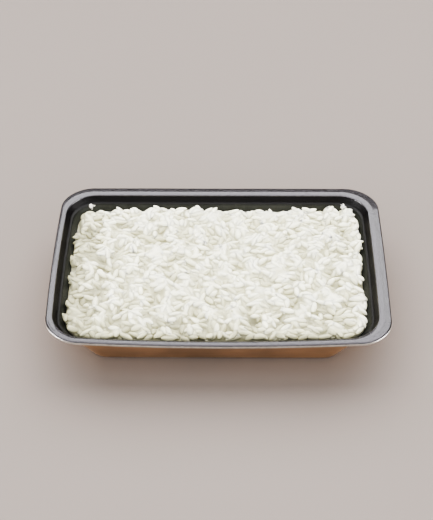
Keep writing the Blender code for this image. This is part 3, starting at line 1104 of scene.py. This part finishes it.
class RICETRAY_OT_rice(bpy.types.Operator):
    """Make the boiled rice: its core and the whole grains heaped on it"""

    bl_idname = "ricetray.rice"
    bl_label = "Boiled Rice"

    def execute(self, context):
        tray, rice = context.scene.foil_tray, context.scene.boiled_rice
        random = np.random.default_rng(rice.seed)
        grid = HeapGrid(tray, rice)
        grid.lay(random, rice, rice.bed_grains, grid.bed)
        grid.height = blurred(grid.height, cells=2)
        edge = grid.lay(random, rice, rice.tips, grid.ceiling, tips=True)
        laid = grid.lay(random, rice, rice.grains, grid.ceiling)
        core = make_core(tray, rice, grid)
        grains = make_grains(random, rice, np.vstack([edge, laid]), grid)
        for piece in (core, grains):
            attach(piece, "root")
            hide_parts("rice")
        return {"FINISHED"}


class RICETRAY_OT_studio(bpy.types.Operator):
    """Make the floor, the lights and the camera"""

    bl_idname = "ricetray.studio"
    bl_label = "Studio"

    def execute(self, context):
        studio = context.scene.rice_studio
        make_floor(studio)
        make_lights(studio)
        make_camera()
        context.scene.view_settings.view_transform = "AgX"
        context.scene.view_settings.look = "AgX - High Contrast"
        context.scene.view_settings.exposure = studio.exposure
        return {"FINISHED"}


def make_floor(studio):
    """A square plane at the tray's foot."""
    half = studio.floor_size / 2
    corners = np.array([(-half, -half, 0), (half, -half, 0), (half, half, 0), (-half, half, 0)])
    floor = build_mesh(
        "floor", corners, np.array([[0, 1, 2, 3]]), np.empty((0, 3), int), [pale_floor(studio)]
    )


def add_panel(name, way, distance, size, strength):
    """A rectangular soft light at a distance from the tray in a direction, facing the tray."""
    data = bpy.data.lights.new(name, "AREA")
    data.shape = "RECTANGLE"
    data.size, data.size_y = size
    data.energy = strength
    panel = bpy.data.objects.new(name, data)
    bpy.context.scene.collection.objects.link(panel)
    panel.location = Vector((0, 0, TRAY_HIGH.z)) + way * distance
    panel.rotation_euler = (-way).to_track_quat("-Z", "Y").to_euler()


def make_lights(studio):
    """A wide panel over and behind the tray, a weaker one over the camera, two cards and a sky.

    The sky's strength goes from the horizon's to its full one with the third power of the rise.
    """
    back = Vector((0, math.cos(studio.panel_elevation), math.sin(studio.panel_elevation)))
    add_panel("panel", back, studio.distance, studio.panel_size, studio.panel_strength)
    front = Vector((0, -math.cos(studio.fill_elevation), math.sin(studio.fill_elevation)))
    add_panel("fill", front, studio.distance, studio.fill_size, studio.fill_strength)
    for side, name in ((-1, "card_left"), (1, "card_right")):
        low = Vector((side * CARD_WAY[0], *CARD_WAY[1:])).normalized()
        add_panel(name, low, studio.card_distance, studio.card_size, studio.card_strength)

    world = bpy.data.worlds.new("studio")
    world.use_nodes = True
    tree = world.node_tree
    way = node(tree, "ShaderNodeTexCoord").outputs["Generated"]
    rise = node(tree, "ShaderNodeSeparateXYZ", {"Vector": way}).outputs["Z"]
    faded = worked_out(tree, "POWER", worked_out(tree, "MAXIMUM", rise, 0.0), 3.0)
    strength = mapped(tree, faded, 0.0, 1.0, studio.horizon, studio.sky)
    background = tree.nodes["Background"]
    set_inputs(tree, background, {"Color": linear("#FDFDFF"), "Strength": strength})
    bpy.context.scene.world = world


def make_camera():
    """The camera of the photograph, in front of the tray and looking down at it."""
    ahead = Vector(
        (
            math.sin(CAMERA_YAW) * math.cos(CAMERA_ELEVATION),
            math.cos(CAMERA_YAW) * math.cos(CAMERA_ELEVATION),
            -math.sin(CAMERA_ELEVATION),
        )
    )
    level = Vector((math.cos(CAMERA_YAW), -math.sin(CAMERA_YAW), 0))
    upright = level.cross(ahead)
    right = level * math.cos(CAMERA_ROLL) + upright * math.sin(CAMERA_ROLL)
    up = upright * math.cos(CAMERA_ROLL) - level * math.sin(CAMERA_ROLL)
    data = bpy.data.cameras.new("photo_camera")
    data.sensor_width = SENSOR_WIDTH
    data.lens = FOCAL_PIXELS / max(PHOTO_WIDTH, PHOTO_HEIGHT) * SENSOR_WIDTH
    data.clip_start = 0.01
    camera = bpy.data.objects.new("photo_camera", data)
    bpy.context.scene.collection.objects.link(camera)
    turn = Matrix((right, up, -ahead)).transposed().to_4x4()
    turn.translation = Vector(CAMERA_AIM) - ahead * CAMERA_DISTANCE
    camera.matrix_world = turn
    bpy.context.scene.camera = camera


class RICETRAY_PT_panel(bpy.types.Panel):
    """Sidebar panel with the makers and their settings"""

    bl_idname = "RICETRAY_PT_panel"
    bl_label = "Rice Tray"
    bl_space_type = "VIEW_3D"
    bl_region_type = "UI"
    bl_category = "Rice Tray"

    def draw(self, context):
        scene = context.scene
        for group, maker in (
            (scene.foil_tray, RICETRAY_OT_foil),
            (scene.boiled_rice, RICETRAY_OT_rice),
            (scene.rice_studio, RICETRAY_OT_studio),
        ):
            box = self.layout.box()
            for name in group.bl_rna.properties.keys():
                if name not in ("rna_type", "name"):
                    box.prop(group, name)
            box.operator(maker.bl_idname)


CLASSES = (
    FoilTraySettings,
    RiceSettings,
    StudioSettings,
    RICETRAY_OT_foil,
    RICETRAY_OT_rice,
    RICETRAY_OT_studio,
    RICETRAY_PT_panel,
)


def register():
    for each in CLASSES:
        bpy.utils.register_class(each)
    bpy.types.Scene.foil_tray = PointerProperty(type=FoilTraySettings)
    bpy.types.Scene.boiled_rice = PointerProperty(type=RiceSettings)
    bpy.types.Scene.rice_studio = PointerProperty(type=StudioSettings)


def unregister():
    del bpy.types.Scene.foil_tray
    del bpy.types.Scene.boiled_rice
    del bpy.types.Scene.rice_studio
    for each in reversed(CLASSES):
        bpy.utils.unregister_class(each)


def main():
    register()
    bpy.ops.ricetray.foil()
    bpy.ops.ricetray.rice()
    bpy.ops.ricetray.studio()


if __name__ == "__main__":
    main()
